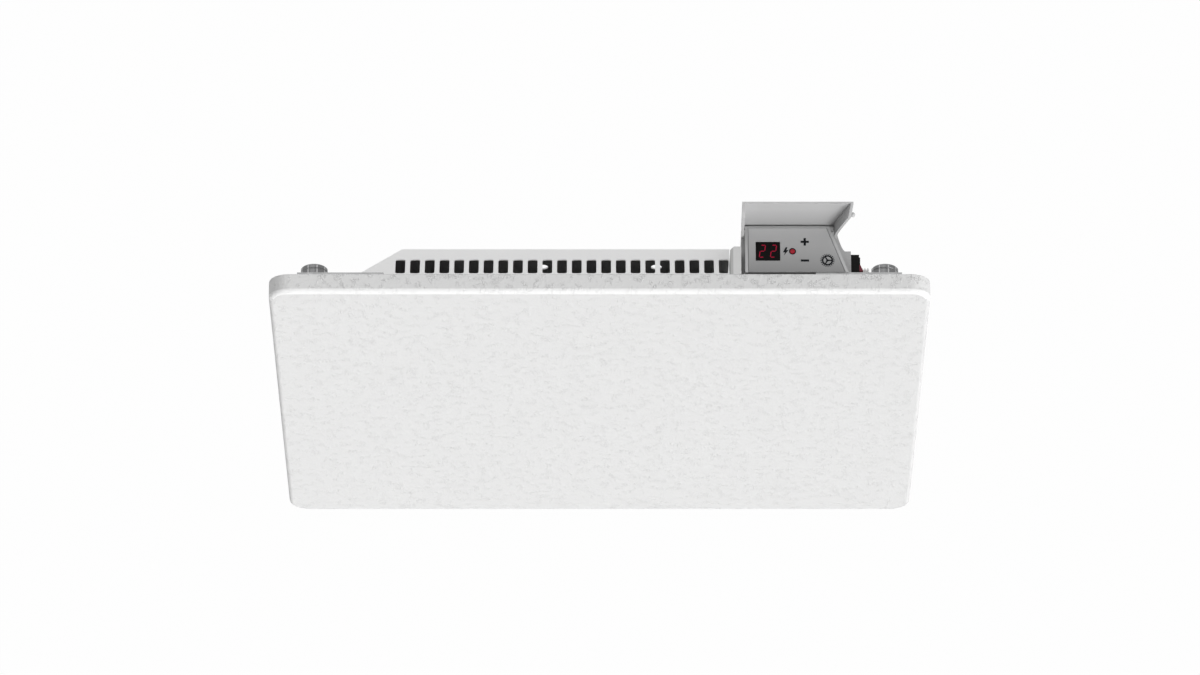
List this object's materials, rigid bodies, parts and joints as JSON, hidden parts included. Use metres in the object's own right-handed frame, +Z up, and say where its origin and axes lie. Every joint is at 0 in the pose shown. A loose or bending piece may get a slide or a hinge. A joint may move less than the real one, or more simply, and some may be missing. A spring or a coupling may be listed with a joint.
{
  "type": "wall panel convector heater",
  "caption": "Flat steel wall panel heater with a slotted convector casing behind, wall posts, a control unit with hinged lid and a rocker switch.",
  "frame": {"origin": "on the wall plane that the posts stand on, at the middle of the front panel's width and height", "axes": "+Z up, +X to the right of someone facing the heater, the front faces -Y and the wall is the plane Y = 0"},
  "size_m": [0.45, 0.054, 0.4107],
  "materials": {
    "white_coat": "white textured powder coat",
    "pale_paint": "smooth light paint",
    "zinc": "galvanised sheet",
    "steel": "turned, brushed",
    "grey_plastic": "fine matte grain",
    "black_plastic": "matte",
    "dark_window": "dark red tinted window",
    "red_lamp": "diffused lens",
    "red_plastic": "polished",
    "white_nylon": "moulded",
    "aluminium": "mill finish",
    "board": "solder mask",
    "lead_sleeve": "silicone sleeve"
  },
  "bodies": {
    "body": {"front_panel": "white_coat", "left_rail": "zinc", "right_rail": "zinc", "wall_post_upper_left": "steel", "post_screw_upper_left": "steel", "wall_post_upper_right": "steel", "post_screw_upper_right": "steel", "wall_post_lower_left": "steel", "post_screw_lower_left": "steel", "wall_post_lower_right": "steel", "post_screw_lower_right": "steel", "rear_casing": "pale_paint", "casing_screw_1": "zinc", "casing_screw_2": "zinc", "casing_screw_3": "zinc", "casing_screw_4": "zinc", "casing_screw_5": "zinc", "casing_screw_6": "zinc", "casing_screw_7": "zinc", "wiring_box": "white_coat", "control_housing": "grey_plastic", "control_cover": "grey_plastic", "display_lens": "dark_window", "display_module": "black_plastic", "indicator_led": "red_lamp", "circuit_board": "board", "touch_spring_up": "steel", "touch_spring_down": "steel", "touch_spring_mode": "steel", "relay": "black_plastic", "transformer": "black_plastic", "hinge_pin_left": "steel", "hinge_pin_right": "steel", "switch_body": "black_plastic", "cable_gland": "white_nylon", "gland_nut": "white_nylon", "terminal_block": "white_nylon", "room_sensor": "black_plastic", "heating_element": "aluminium", "element_bracket_left": "zinc", "element_bracket_right": "zinc", "heat_shield": "aluminium", "overheat_cutout": "black_plastic", "element_lead_live": "lead_sleeve", "element_lead_neutral": "lead_sleeve"},
    "lid": {"lid": "grey_plastic"},
    "rocker": {"switch_rocker": "red_plastic"}
  },
  "joints": [
    {"name": "lid_hinge", "type": "hinge", "parent": "body", "child": "lid", "pos_m": [0.129, -0.0055, 0.1878], "axis": [1, 0, 0], "range_deg": [0, 92.5]},
    {"name": "rocker_pivot", "type": "hinge", "parent": "body", "child": "rocker", "pos_m": [0.1743, -0.0272, 0.1728], "axis": [0, 0, 1], "range_deg": [-22, 0]}
  ]
}
